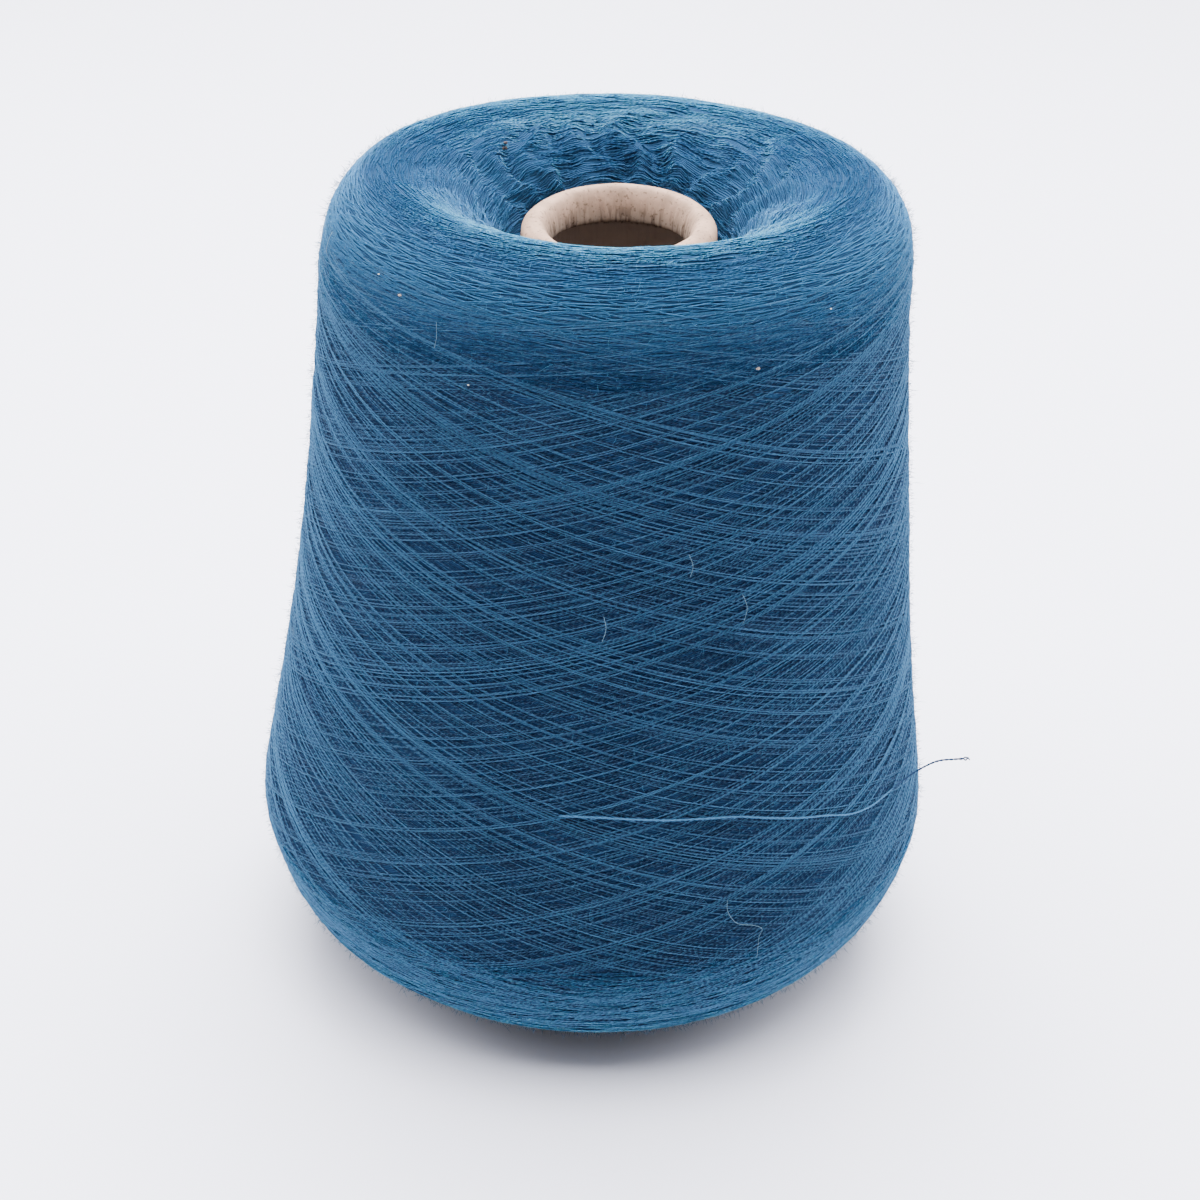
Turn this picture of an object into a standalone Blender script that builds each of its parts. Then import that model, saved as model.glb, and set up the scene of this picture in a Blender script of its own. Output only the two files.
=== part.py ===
"""A cone of dyed yarn: a soft wound package on a tapered paper cone, with one loose yarn end.

Metres, +Z up. The paper cone's base rim stands on z = 0, and the winding is centred on the Z axis at its widest.
"""

from collections import namedtuple
from math import atan2, cos, pi, radians, sin, tan

import bpy

MM = 0.001

# Paper cone, a standard winding core
CONE_X = 2.5 * MM  # the winding has swollen to one side, so the core stands a little off its middle
CONE_HEIGHT = 169 * MM
CONE_TAPER = radians(4 + 20 / 60)
CONE_WALL = 2.9 * MM
NOSE_RADIUS = 20.1 * MM
ROLL_WIDTH = 6.5 * MM  # the rolled-in nose, seen in section
ROLL_HEIGHT = 5.6 * MM
ROLL_SWEEP = 262  # degrees round the roll's section, from the outer wall to where its edge tucks under
ROLL_STEPS = 11
ROLL_COVER = 4.6 * MM  # how far below the middle of the roll its edge meets the wall
CONE_ROWS = 3  # stretches of the straight wall, so that its faces are not too long
CONE_SECTORS = 64

# Wound yarn
PACKAGE_SECTORS = 112
FIT_GAP = 0.3 * MM  # between the yarn and the paper
WINDING_TOP = 157 * MM  # where the innermost yarn meets the cone, at the nose and at the base
WINDING_FOOT = 9.5 * MM
PLEAT_LEAN = 0.4  # a pleat leans towards the nose by this share of its rise

# The winding's outline from the nose over the crown, down the flank and under the foot, in mm. drift is the x of
# the section's centre, pleated is its share of the pleats' rise, and steps is the number of faces to the next row.
Section = namedtuple("Section", "radius height drift pleated steps")
WINDING = (
    Section(23.2, 161.0, 2.3, 0.5, 2),
    Section(25.9, 167.6, 2.1, 1.0, 3),
    Section(32.8, 174.2, 2.2, 0.9, 3),
    Section(41.6, 178.1, 2.6, 0.3, 2),
    Section(47.4, 179.5, 2.8, 0.0, 2),
    Section(53.5, 177.3, 2.8, 0.0, 2),
    Section(58.6, 171.0, 2.5, 0.0, 2),
    Section(60.6, 161.5, 2.0, 0.0, 2),
    Section(61.3, 148.0, 1.8, 0.0, 2),
    Section(64.6, 110.0, 1.8, 0.0, 2),
    Section(67.9, 80.0, 1.1, 0.0, 2),
    Section(71.8, 55.0, 0.4, 0.0, 2),
    Section(74.7, 36.5, 0.0, 0.0, 2),
    Section(73.4, 26.5, 0.0, 0.0, 2),
    Section(68.6, 15.0, 0.0, 0.0, 2),
    Section(60.0, 7.0, 0.0, 0.0, 2),
    Section(49.0, 6.2, 0.4, 0.0, 2),
    Section(39.0, 7.6, 1.2, 0.0, 1),
)

# Pleats round the nose: where each stands (degrees from +X, anticlockwise), its rise in mm and its half width
Pleat = namedtuple("Pleat", "angle rise half_width")
PLEATS = (
    Pleat(8, 2.2, 9),
    Pleat(25, 3.0, 10),
    Pleat(46, 2.0, 11),
    Pleat(64, 2.8, 10),
    Pleat(86, 3.2, 12),
    Pleat(106, 2.1, 10),
    Pleat(122, 2.9, 9),
    Pleat(141, 2.6, 11),
    Pleat(160, 1.9, 10),
    Pleat(181, 1.5, 11),
    Pleat(201, 1.2, 10),
    Pleat(222, 1.0, 11),
    Pleat(243, 0.5, 11),
    Pleat(263, 0.3, 10),
    Pleat(284, 0.3, 11),
    Pleat(305, 0.7, 11),
    Pleat(326, 1.4, 10),
    Pleat(346, 1.8, 11),
)

# Loose end: hand-placed points, from where it leaves the winding to its free tip, in mm
END_DIAMETER = 0.5 * MM
END_POINTS = 80
END_ROUTE = (
    (-6.2, -69.9, 68.6),
    (1.3, -70.2, 68.7),
    (8.6, -69.8, 68.2),
    (15.9, -68.7, 67.5),
    (23.0, -66.9, 66.9),
    (29.9, -64.3, 65.8),
    (36.6, -61.2, 63.6),
    (42.9, -57.4, 61.3),
    (48.9, -53.0, 59.1),
    (54.4, -47.9, 56.2),
    (59.3, -42.2, 54.5),
    (63.5, -35.9, 53.8),
    (67.1, -30.1, 53.3),
    (71.2, -25.4, 53.5),
    (75.6, -22.0, 53.2),
    (79.6, -20.2, 52.8),
    (83.3, -18.8, 52.2),
)

YARN_COLOUR = (0.032, 0.130, 0.270, 1.0)
PAPER_COLOUR = (0.56, 0.47, 0.40, 1.0)


def clear_scene():
    for obj in list(bpy.data.objects):
        bpy.data.objects.remove(obj, do_unlink=True)


def new_collection(name):
    collection = bpy.data.collections.new(name)
    bpy.context.scene.collection.children.link(collection)
    return collection


def material(name, colour, roughness):
    """A Principled material with the piece's colour, roughness and no metal."""
    made = bpy.data.materials.new(name)
    made.use_nodes = True
    shader = made.node_tree.nodes["Principled BSDF"]
    shader.inputs["Base Color"].default_value = colour
    shader.inputs["Roughness"].default_value = roughness
    shader.inputs["Metallic"].default_value = 0.0
    return made


def cone_radius(height):
    """Outside radius of the paper cone at this height."""
    roll_centre = CONE_HEIGHT - ROLL_HEIGHT / 2
    return NOSE_RADIUS + (roll_centre - height) * tan(CONE_TAPER)


def through(rows):
    """Rows of numbers along a smooth curve through the given rows. A row's last number is its steps to the next."""
    found = []
    for i, row in enumerate(rows[:-1]):
        before, after = rows[max(i - 1, 0)], rows[min(i + 2, len(rows) - 1)]
        for step in range(row[-1]):
            t = step / row[-1]
            found.append([catmull_rom(*four, t) for four in zip(before, row, rows[i + 1], after)][:-1])
    found.append(list(rows[-1][:-1]))
    return found


def catmull_rom(a, b, c, d, t):
    """A value between b and c, on the smooth curve that a and d lead into and out of."""
    return b + 0.5 * t * (c - a + t * (2 * a - 5 * b + 4 * c - d + t * (3 * (b - c) + d - a)))


def turned(name, profile, sectors, collection, values=()):
    """A solid turned about Z from a closed profile of (radius, height), with named values on its points."""
    mesh = bpy.data.meshes.new(name)
    count = len(profile)
    edges = [(i, (i + 1) % count) for i in range(count)]
    mesh.from_pydata([(radius, 0, height) for radius, height in profile], edges, [])
    for label, numbers in values:
        mesh.attributes.new(label, "FLOAT", "POINT").data.foreach_set("value", numbers)
    obj = bpy.data.objects.new(name, mesh)
    collection.objects.link(obj)
    screw = obj.modifiers.new("Turn", "SCREW")
    screw.steps = screw.render_steps = sectors
    screw.use_merge_vertices = True
    screw.merge_threshold = 0.00001
    screw.use_smooth_shade = True
    return obj


def as_mesh(obj):
    """Replaces the object's mesh with the one that its modifiers make, so that its points can be moved."""
    graph = bpy.context.evaluated_depsgraph_get()
    obj.data = bpy.data.meshes.new_from_object(obj.evaluated_get(graph))
    obj.modifiers.clear()
    return obj


def pleat_rise(angle):
    """How far the pleats lift the yarn at this angle round the nose."""
    total = 0.0
    for pleat in PLEATS:
        off = (angle - pleat.angle + 180) % 360 - 180
        if abs(off) < pleat.half_width:
            total += pleat.rise * MM * (1 + cos(pi * off / pleat.half_width)) / 2
    return total


def yarn_package(collection):
    """The wound yarn: its turned form, then each section moved by its drift and lifted by the pleats."""
    top = Section((cone_radius(WINDING_TOP) + FIT_GAP) / MM, WINDING_TOP / MM, CONE_X / MM, 0.0, 1)
    foot = Section((cone_radius(WINDING_FOOT) + FIT_GAP) / MM, WINDING_FOOT / MM, CONE_X / MM, 0.0, 1)
    rows = through((top, *WINDING, foot))
    profile = [(radius * MM, height * MM) for radius, height, _, _ in rows]
    drift = [row[2] * MM for row in rows]
    pleated = [row[3] for row in rows]
    values = (("drift", drift), ("pleated", pleated))
    obj = as_mesh(turned("yarn_package", profile, PACKAGE_SECTORS, collection, values))
    mesh = obj.data
    drift = [item.value for item in mesh.attributes["drift"].data]
    pleated = [item.value for item in mesh.attributes["pleated"].data]
    for point, shift, share in zip(mesh.vertices, drift, pleated):
        angle = atan2(point.co.y, point.co.x)
        rise = share * pleat_rise(angle * 180 / pi)
        point.co.x += shift - PLEAT_LEAN * rise * cos(angle)
        point.co.y -= PLEAT_LEAN * rise * sin(angle)
        point.co.z += rise
    mesh.materials.append(material("dyed_yarn", YARN_COLOUR, 0.9))
    return obj


def paper_cone(collection):
    """The core: up the rolled nose from its tucked edge, down the outside, and back up inside from the base rim."""
    centre_radius = NOSE_RADIUS - ROLL_WIDTH / 2
    centre_height = CONE_HEIGHT - ROLL_HEIGHT / 2
    profile = []
    for step in range(ROLL_STEPS + 1):
        angle = radians(ROLL_SWEEP * (1 - step / ROLL_STEPS))
        profile.append((
            centre_radius + ROLL_WIDTH / 2 * cos(angle),
            centre_height + ROLL_HEIGHT / 2 * sin(angle),
        ))
    rows = [CONE_HEIGHT * row / CONE_ROWS for row in range(CONE_ROWS)]
    for height in reversed(rows):
        profile.append((cone_radius(height), height))
    for height in (*rows, centre_height - ROLL_COVER):
        profile.append((cone_radius(height) - CONE_WALL, height))
    obj = turned("paper_cone", profile, CONE_SECTORS, collection)
    obj.location.x = CONE_X
    obj.data.materials.append(material("pale_paper", PAPER_COLOUR, 0.85))
    return obj


def loose_end(collection):
    """The one free end of the yarn, a thin round thread along a smooth curve through its route."""
    curve = bpy.data.curves.new("loose_end", "CURVE")
    curve.dimensions = "3D"
    curve.bevel_depth = END_DIAMETER / 2
    curve.bevel_resolution = 2
    curve.use_fill_caps = True
    steps = (END_POINTS - 1) // (len(END_ROUTE) - 1)
    points = through([(*point, steps) for point in END_ROUTE])
    spline = curve.splines.new("POLY")
    spline.points.add(len(points) - 1)
    for target, point in zip(spline.points, points):
        target.co = (*(value * MM for value in point), 1)
    obj = bpy.data.objects.new("loose_end", curve)
    collection.objects.link(obj)
    curve.materials.append(material("dyed_thread", YARN_COLOUR, 0.9))
    return obj


clear_scene()
pieces = new_collection("cone_of_yarn")
yarn_package(pieces)
paper_cone(pieces)
loose_end(pieces)
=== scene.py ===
# %% [markdown]
# # A cone of dyed yarn
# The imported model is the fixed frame: it holds the wound form, the paper cone and the route of the loose
# end at their real size. This lesson dresses it. The winding gets its real turns of yarn, the paper cone
# its rolled and pleated nose, and the loose end its two twisted plies.

# %% Load the frame
from collections import namedtuple
from math import pi, radians

import bpy
import numpy as np
from mathutils import Euler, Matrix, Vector


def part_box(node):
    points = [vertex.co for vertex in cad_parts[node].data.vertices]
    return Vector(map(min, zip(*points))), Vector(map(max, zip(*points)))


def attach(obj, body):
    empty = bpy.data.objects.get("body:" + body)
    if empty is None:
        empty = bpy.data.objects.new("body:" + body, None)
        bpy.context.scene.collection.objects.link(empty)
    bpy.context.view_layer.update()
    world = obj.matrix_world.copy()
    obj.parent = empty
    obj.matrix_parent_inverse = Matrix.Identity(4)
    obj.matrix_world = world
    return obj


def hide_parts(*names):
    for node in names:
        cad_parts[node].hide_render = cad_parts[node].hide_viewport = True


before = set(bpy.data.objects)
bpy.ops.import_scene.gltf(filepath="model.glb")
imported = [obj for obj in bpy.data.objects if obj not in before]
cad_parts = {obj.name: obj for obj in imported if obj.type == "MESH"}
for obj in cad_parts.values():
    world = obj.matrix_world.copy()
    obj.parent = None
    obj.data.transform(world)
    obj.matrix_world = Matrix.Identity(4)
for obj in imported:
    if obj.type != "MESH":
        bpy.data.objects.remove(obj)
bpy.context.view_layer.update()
MM = 0.001

# %% [markdown]
# ## The camera
# The photograph looks down at the cone from about arm's length. The oval of the nose gives the tilt, the
# spread of the sides gives the distance, and the leaning axis gives a small roll. The camera is set
# first, because all that follows is judged through it.

# %% Camera
cone_low, cone_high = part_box("paper_cone")
CONE_X = (cone_low[0] + cone_high[0]) / 2
CONE_TOP = cone_high[2]
CAMERA_BACK = 465.2 * MM
CAMERA_ABOVE_NOSE = 168.2 * MM
CAMERA_SIDE = -1.8 * MM
CAMERA_PITCH = radians(29.01)
CAMERA_ROLL = radians(1.6)
SENSOR = 36.0
FOCAL_IN_PICTURES = 2393 / 1200

camera_data = bpy.data.cameras.new("camera")
camera_data.sensor_fit = "HORIZONTAL"
camera_data.sensor_width = SENSOR
camera_data.lens = FOCAL_IN_PICTURES * SENSOR
camera_data.clip_start = 0.01
camera = bpy.data.objects.new("camera", camera_data)
bpy.context.scene.collection.objects.link(camera)
camera.location = (CONE_X + CAMERA_SIDE, -CAMERA_BACK, CONE_TOP + CAMERA_ABOVE_NOSE)
tilt = Euler((pi / 2 - CAMERA_PITCH, 0, 0)).to_matrix()
camera.rotation_euler = (tilt @ Euler((0, 0, CAMERA_ROLL)).to_matrix()).to_euler()
bpy.context.scene.camera = camera
print("camera at", [round(v, 3) for v in camera.location], "lens", round(camera_data.lens, 1), "mm")

# %% [markdown]
# ## The wound form
# A soft package is wound on a machine that carries the yarn up and down while the cone turns. Its outline
# is a short table of rows, in mm: dished top, rounded shoulder, flared flank and rounded foot. The axis
# drifts a little from row to row, and pleated is a row's share of the pleats. The pleats are humps round
# the nose, each at its angle in degrees.

# %% The outline and its pleats
Section = namedtuple("Section", "radius height drift pleated")
OUTLINE = (
    Section(21.1, 157.0, 2.5, 0.0),
    Section(23.2, 161.0, 2.3, 0.5),
    Section(25.9, 167.6, 2.1, 1.0),
    Section(32.8, 174.2, 2.2, 0.9),
    Section(41.6, 178.1, 2.6, 0.3),
    Section(47.4, 179.5, 2.8, 0.0),
    Section(53.5, 177.3, 2.8, 0.0),
    Section(58.6, 171.0, 2.5, 0.0),
    Section(60.6, 161.5, 2.0, 0.0),
    Section(61.3, 148.0, 1.8, 0.0),
    Section(64.6, 110.0, 1.8, 0.0),
    Section(67.9, 80.0, 1.1, 0.0),
    Section(71.8, 55.0, 0.4, 0.0),
    Section(74.7, 36.5, 0.0, 0.0),
    Section(73.4, 26.5, 0.0, 0.0),
    Section(68.6, 15.0, 0.0, 0.0),
    Section(60.0, 7.0, 0.0, 0.0),
    Section(49.0, 6.2, 0.4, 0.0),
    Section(39.0, 7.6, 1.2, 0.0),
    Section(32.3, 9.5, 2.5, 0.0),
)
Pleat = namedtuple("Pleat", "angle rise half_width")
PLEATS = (
    Pleat(8, 2.2, 9),
    Pleat(25, 3.0, 10),
    Pleat(46, 2.0, 11),
    Pleat(64, 2.8, 10),
    Pleat(86, 3.2, 12),
    Pleat(106, 2.1, 10),
    Pleat(122, 2.9, 9),
    Pleat(141, 2.6, 11),
    Pleat(160, 1.9, 10),
    Pleat(181, 1.5, 11),
    Pleat(201, 1.2, 10),
    Pleat(222, 1.0, 11),
    Pleat(243, 0.5, 11),
    Pleat(263, 0.3, 10),
    Pleat(284, 0.3, 11),
    Pleat(305, 0.7, 11),
    Pleat(326, 1.4, 10),
    Pleat(346, 1.8, 11),
)

# %% [markdown]
# A smooth curve runs through the rows. Everything made of yarn is placed on this one surface, by how far
# along the outline it lies, its angle round the axis and its lift. So the curve is measured once, with
# its slope and the way it faces at every step.

# %% A smooth outline
CURVE_STEPS = 40


def through(rows, steps):
    """Points along a smooth curve through the rows, this many to a stretch."""
    rows = np.array(rows, float)
    held = np.vstack([rows[0], rows, rows[-1]])
    t = np.arange(steps)[:, None] / steps
    found = []
    for a, b, c, d in zip(held[:-3], held[1:-2], held[2:-1], held[3:]):
        found.append(b + 0.5 * t * (c - a + t * (2 * a - 5 * b + 4 * c - d + t * (3 * (b - c) + d - a))))
    return np.vstack([*found, rows[-1:]])


def smooth_step(value):
    value = np.clip(value, 0, 1)
    return value * value * (3 - 2 * value)


outline = through(OUTLINE, CURVE_STEPS)
steps = np.hypot(np.diff(outline[:, 0]), np.diff(outline[:, 1]))
along = np.concatenate([[0], np.cumsum(steps)])
slope = np.gradient(outline[:, :2], along, axis=0)
slope /= np.linalg.norm(slope, axis=1, keepdims=True)
facing = np.stack([-slope[:, 1], slope[:, 0]], axis=1)
LENGTH = along[-1]
widest, tallest = outline[:, :2].max(axis=0)
print(f"outline {LENGTH:.1f} mm long, {widest:.1f} mm in radius, {tallest:.1f} mm tall")

# %% [markdown]
# The pleats round the nose come from the yarn's tension: each hump lifts the yarn a little. Between them
# the yarn ripples more finely, and neighbouring turns ripple together, so the ripple is a sum of waves
# that depends on where the yarn lies and never on which turn it is. A wave is written as its count round
# the axis, its turn per mm of outline, its phase and its height. The ripples are strongest at the back of
# the dish. Three more tables of waves bend the pleats sideways, step the turns in the dish, and let whole
# stretches of yarn lie slack. The pleats keep most of the model's rise, as the ripples add the rest, and
# the pleated part sags a little at the front.

# %% Ripples and pleats
PLEAT_LEAN = 0.4
PLEAT_SHARE = 0.7
FRONT_SAG = 1.9
RIPPLE_MEAN, RIPPLE_BACK = 0.6, 0.4
RIPPLES = (
    (13, 0.28, 1.1, 0.26),
    (22, 0.45, 0.3, 0.24),
    (29, -0.5, 1.9, 0.22),
    (37, 0.7, 4.1, 0.20),
    (52, -0.6, 2.6, 0.15),
    (71, 0.9, 5.3, 0.11),
    (97, -1.2, 0.7, 0.06),
)
LEDGES = ((4, 2.4, 0.4, 0.20), (9, -2.0, 2.2, 0.16), (15, 3.1, 4.0, 0.12), (23, -3.7, 1.2, 0.08))
RIPPLE_FADE_IN, RIPPLE_FADE_OUT, RIPPLE_TO = 5, 18, 34
EDGE_FADE = 8
MEANDER = ((2, 0.31, 0.9, 0.10), (5, -0.24, 3.3, 0.07), (11, 0.5, 2.0, 0.03))
SLACK = ((2, 0.05, 0.8, 0.12), (5, -0.03, 2.2, 0.08), (9, 0.06, 5.0, 0.05))


def waves(table, angle, place):
    """The sum of a table's waves at this angle and place."""
    return sum(height * np.sin(count * angle + turn * place + phase) for count, turn, phase, height in table)


def pleat_rise(angle):
    """How far the pleats lift the yarn at this angle."""
    degrees = np.degrees(angle)
    total = np.zeros_like(degrees)
    for pleat in PLEATS:
        off = np.abs((degrees - pleat.angle + 180) % 360 - 180)
        hump = pleat.rise * (1 + np.cos(pi * off / pleat.half_width)) / 2
        total += np.where(off < pleat.half_width, hump, 0)
    return total


highest = PLEAT_SHARE * pleat_rise(np.linspace(0, 2 * pi, 721)).max()
print(f"the highest pleat lifts the yarn {highest:.1f} mm")


# %% Where a point of yarn lies
def on_winding(place, angle, lift):
    """The points in mm, and the outward normals, at this place along the outline, angle and lift."""
    radius, height, drift, pleated = (np.interp(place, along, column) for column in outline.T)
    out, up = (np.interp(place, along, column) for column in facing.T)
    inner = smooth_step((place - 1) / RIPPLE_FADE_IN) * smooth_step((RIPPLE_TO - place) / RIPPLE_FADE_OUT)
    inner = inner * (RIPPLE_MEAN + RIPPLE_BACK * np.sin(angle))
    edges = smooth_step(place / EDGE_FADE) * smooth_step((LENGTH - place) / EDGE_FADE)
    bent = angle + waves(MEANDER, angle, place)
    rise = pleated * (PLEAT_SHARE * pleat_rise(bent) - FRONT_SAG * (1 - np.sin(angle)) / 2)
    rise = rise + inner * waves(RIPPLES, bent, place)
    lift = lift + edges * waves(SLACK, angle, place) + inner * waves(LEDGES, angle, place)
    radius = radius + lift * out - PLEAT_LEAN * rise
    height = height + lift * up + rise
    points = np.stack([drift + radius * np.cos(angle), radius * np.sin(angle), height], axis=-1)
    normals = np.stack([out * np.cos(angle), out * np.sin(angle), up], axis=-1)
    return points, normals


crown, sole = int(np.argmax(outline[:, 1])), int(np.argmin(outline[:, 1]))


def place_at(height):
    """How far along the outline the outer side passes this height."""
    return float(np.interp(-height, -outline[crown:sole, 1], along[crown:sole]))


SHOULDER, FOOT = place_at(166.0), place_at(20.0)
print(f"shoulder and foot at {SHOULDER:.1f} and {FOOT:.1f} mm along the outline")

# %% [markdown]
# ## A tube for every strand
# Yarn is too fine and too long to model by hand, so one helper sweeps a small tube along any number of
# routes and joins them in one closed mesh. It also writes a UV map, with the length along the yarn in
# millimetres and the turn round it, which the twist of the plies follows, and a tone for each strand.

# %% A joined mesh from arrays
def joined_mesh(name, points, faces, caps, uvs, tones):
    """An object with these four-sided faces and end caps, smooth shaded, with its UV map and tones."""
    mesh = bpy.data.meshes.new(name)
    corners = np.concatenate([faces.ravel(), caps.ravel()])
    sizes = np.repeat([4, caps.shape[1]], [len(faces), len(caps)])
    mesh.vertices.add(len(points))
    mesh.vertices.foreach_set("co", points.astype(np.float32).ravel())
    mesh.loops.add(len(corners))
    mesh.loops.foreach_set("vertex_index", corners.astype(np.int32))
    mesh.polygons.add(len(sizes))
    mesh.polygons.foreach_set("loop_start", (np.cumsum(sizes) - sizes).astype(np.int32))
    mesh.polygons.foreach_set("use_smooth", np.ones(len(sizes), bool))
    mesh.update(calc_edges=True)
    uvs = np.vstack([uvs, np.zeros((caps.size, 2))])
    mesh.uv_layers.new(name="UVMap").data.foreach_set("uv", uvs.astype(np.float32).ravel())
    mesh.attributes.new("tone", "FLOAT", "POINT").data.foreach_set("value", tones.astype(np.float32))
    mesh.validate()
    obj = bpy.data.objects.new(name, mesh)
    bpy.context.scene.collection.objects.link(obj)
    print(name, len(faces) * 2 + len(caps) * (caps.shape[1] - 2), "triangles")
    return obj


# %% Sweep tubes along routes
Route = namedtuple("Route", "points normals tone")


def directions(route):
    """The outward and the sideways direction at each point of a route, both square to it."""
    ahead = np.gradient(route.points, axis=0)
    ahead /= np.linalg.norm(ahead, axis=1, keepdims=True)
    side = np.cross(ahead, route.normals)
    side /= np.linalg.norm(side, axis=1, keepdims=True)
    return np.cross(side, ahead), side


def strands(name, routes, radius, sides=3, ends=1.0):
    """One closed mesh with a tube along every route, in mm. ends is the tubes' width at their two ends."""
    corner = np.arange(sides)
    turn = corner * 2 * pi / sides
    beside = (corner + 1) % sides
    points, faces, caps, uvs, tones, first = [], [], [], [], [], 0
    for route in routes:
        count = len(route.points)
        outward, side = directions(route)
        ring = np.cos(turn)[:, None] * outward[:, None] + np.sin(turn)[:, None] * side[:, None]
        width = np.full((count, 1, 1), radius)
        width[0] = width[-1] = radius * ends
        points.append((route.points[:, None] + ring * width).reshape(-1, 3))
        start = first + np.arange(count - 1)[:, None] * sides
        ahead = start + sides
        faces.append(np.stack([start + corner, start + beside, ahead + beside, ahead + corner], -1))
        caps.append(np.stack([first + corner[::-1], first + (count - 1) * sides + corner]))
        run = np.cumsum(np.linalg.norm(np.diff(route.points, axis=0, prepend=route.points[:1]), axis=1))
        u = np.stack([run[:-1], run[:-1], run[1:], run[1:]], -1)[:, None].repeat(sides, axis=1)
        v = (np.stack([corner, corner + 1, corner + 1, corner], -1) / sides)[None].repeat(count - 1, axis=0)
        uvs.append(np.stack([u, v], -1).reshape(-1, 2))
        tones.append(np.repeat(np.broadcast_to(route.tone, count), sides))
        first += count * sides
    points = np.vstack(points) * MM
    faces = np.concatenate([face.reshape(-1, 4) for face in faces])
    return joined_mesh(name, points, faces, np.vstack(caps), np.vstack(uvs), np.concatenate(tones))


# %% [markdown]
# ## The loose end
# One end of the yarn hangs free: it lies along the flank and sticks out at the right. Its middle line
# follows the model's route to within half a millimetre. The yarn has two plies, so two thin tubes are
# twisted round that line, each half a turn from the other. The free part is painted darker, as painted
# shade, and its plies part at the tip.

# %% Twist the loose end
END_ROUTE = (
    (-6.2, -69.9, 68.6),
    (1.3, -70.2, 68.7),
    (8.6, -69.8, 68.2),
    (15.9, -68.7, 67.5),
    (23.0, -66.9, 66.9),
    (29.9, -64.3, 65.8),
    (36.6, -61.2, 63.6),
    (42.9, -57.4, 61.3),
    (48.9, -53.0, 59.1),
    (54.4, -47.9, 56.2),
    (59.3, -42.2, 54.5),
    (63.5, -35.9, 53.8),
    (67.1, -30.1, 53.1),
    (71.2, -25.4, 53.1),
    (75.6, -22.0, 53.3),
    (79.6, -20.2, 52.8),
    (83.3, -18.8, 52.2),
)
END_DIAMETER = 0.5
PLY_RADIUS = 0.165
PLY_PITCH = 2.4
END_STEP = 0.22
END_TONE = 0.9
FREE_LENGTH, TONE_FADE, FRAYED = 27, 4, 3
TIP_PARTING = 4

rough = through(END_ROUTE, CURVE_STEPS)
run = np.cumsum(np.linalg.norm(np.diff(rough, axis=0, prepend=rough[:1]), axis=1))
fine = np.arange(0, run[-1], END_STEP)
end_line = np.stack([np.interp(fine, run, column) for column in rough.T], axis=1)
outward, side = directions(Route(end_line, end_line * (1, 1, 0), 0))
# The free part of the loose end is painted darker: painted shade.
shaded_end_tones = END_TONE - END_TONE * smooth_step((fine - run[-1] + FREE_LENGTH) / TONE_FADE)
apart = (END_DIAMETER / 2 - PLY_RADIUS) * (1 + TIP_PARTING * smooth_step((fine - run[-1] + FRAYED) / FRAYED))
plies = []
for half_turn in (0, pi):
    twist = (2 * pi * fine / PLY_PITCH + half_turn)[:, None]
    offset = np.cos(twist) * outward + np.sin(twist) * side
    plies.append(Route(end_line + offset * apart[:, None], offset, shaded_end_tones))
loose_thread = strands("loose_thread", plies, PLY_RADIUS, sides=6, ends=0.2)
print(f"loose end {run[-1]:.1f} mm long")

# %% [markdown]
# ## The wound body
# Under the turns that show lies the rest of the winding. A ring of edges takes the outline's shape, and
# spin turns it round the cone. Each point keeps its place along the outline as an attribute, so that
# afterwards the pleats and ripples can be moved in. The body is a little smaller than the outline and
# shows only between the turns.

# %% Turn the body
BODY_POINTS = 120
BODY_STEPS = 180
BODY_INSET = 0.33
CROWN_INSET = 0.12
INSET_BLEND, EDGE_RISE = 15, 4
MERGE = 0.002 * MM


def turned(name, profile, centre, steps, places):
    """A closed outline of (radius, height) in mm, spun once round the upright axis at x = centre."""
    bpy.ops.object.select_all(action="DESELECT")
    bpy.ops.mesh.primitive_circle_add(vertices=len(profile), radius=0.01)
    obj = bpy.context.object
    obj.name = obj.data.name = name
    radius, height = profile.T * MM
    outline_points = np.stack([centre + radius, np.zeros(len(profile)), height], axis=1)
    obj.data.vertices.foreach_set("co", outline_points.astype(np.float32).ravel())
    obj.data.attributes.new("place", "FLOAT", "POINT").data.foreach_set("value", places.astype(np.float32))
    bpy.ops.object.mode_set(mode="EDIT")
    bpy.ops.mesh.select_all(action="SELECT")
    bpy.ops.mesh.spin(steps=steps, angle=2 * pi, center=(centre, 0, 0), axis=(0, 0, 1))
    bpy.ops.mesh.select_all(action="SELECT")
    bpy.ops.mesh.remove_doubles(threshold=MERGE)
    bpy.ops.mesh.normals_make_consistent(inside=False)
    bpy.ops.object.mode_set(mode="OBJECT")
    bpy.ops.object.shade_smooth()
    print(name, len(obj.data.vertices), "points", len(obj.data.polygons), "faces")
    return obj


def points_and_places(obj):
    """The object's points in mm, and the place that each one kept."""
    points, places = np.empty(len(obj.data.vertices) * 3), np.empty(len(obj.data.vertices))
    obj.data.vertices.foreach_get("co", points)
    obj.data.attributes["place"].data.foreach_get("value", places)
    return points.reshape(-1, 3) / MM, places


def move_to(obj, points):
    """Moves the object's points to these, in mm."""
    obj.data.vertices.foreach_set("co", (points * MM).astype(np.float32).ravel())
    obj.data.update()


body_places = np.linspace(0, LENGTH, BODY_POINTS)
body_profile = np.stack([np.interp(body_places, along, outline[:, column]) for column in (0, 1)], axis=1)
winding_body = turned("winding_body", body_profile, 0, BODY_STEPS, body_places)
points, places = points_and_places(winding_body)
inset = CROWN_INSET + (BODY_INSET - CROWN_INSET) * smooth_step((places - SHOULDER) / INSET_BLEND)
inset *= smooth_step(places / EDGE_RISE)
inset *= smooth_step((LENGTH - places) / EDGE_RISE)
points, _ = on_winding(places, np.arctan2(points[:, 1], points[:, 0]), -inset)
move_to(winding_body, points)
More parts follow.
